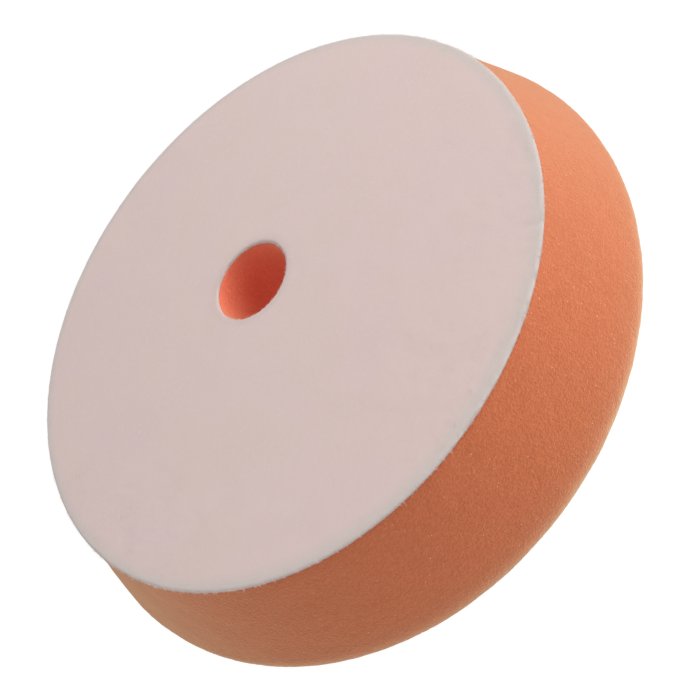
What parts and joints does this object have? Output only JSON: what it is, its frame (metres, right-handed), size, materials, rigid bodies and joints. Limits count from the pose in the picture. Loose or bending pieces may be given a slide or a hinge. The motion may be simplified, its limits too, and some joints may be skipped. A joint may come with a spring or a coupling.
{
  "type": "polishing pad",
  "caption": "Tapered round foam pad with rounded rim, centre hole and a brushed loop face that grips a machine's hook backing plate.",
  "frame": {"origin": "centre of the foam's flat working face, which lies on z = 0", "axes": "+Z is the pad's round axis, from the working face out through the loop face; X and Y lie in the working face"},
  "size_m": [0.151, 0.151, 0.03],
  "materials": {
    "foam": "matte fine open-cell polyurethane foam, salmon orange, with fine cell grain",
    "adhesive": "thin translucent hot-melt film",
    "ground_cloth": "fine warp-knitted polyester ground",
    "loop_pile": "brushed pinkish-white loop pile, matte and fuzzy"
  },
  "bodies": {
    "root": {"foam_body": "foam", "adhesive_film": "adhesive", "ground_cloth": "ground_cloth", "loop_pile": "loop_pile"}
  },
  "joints": []
}
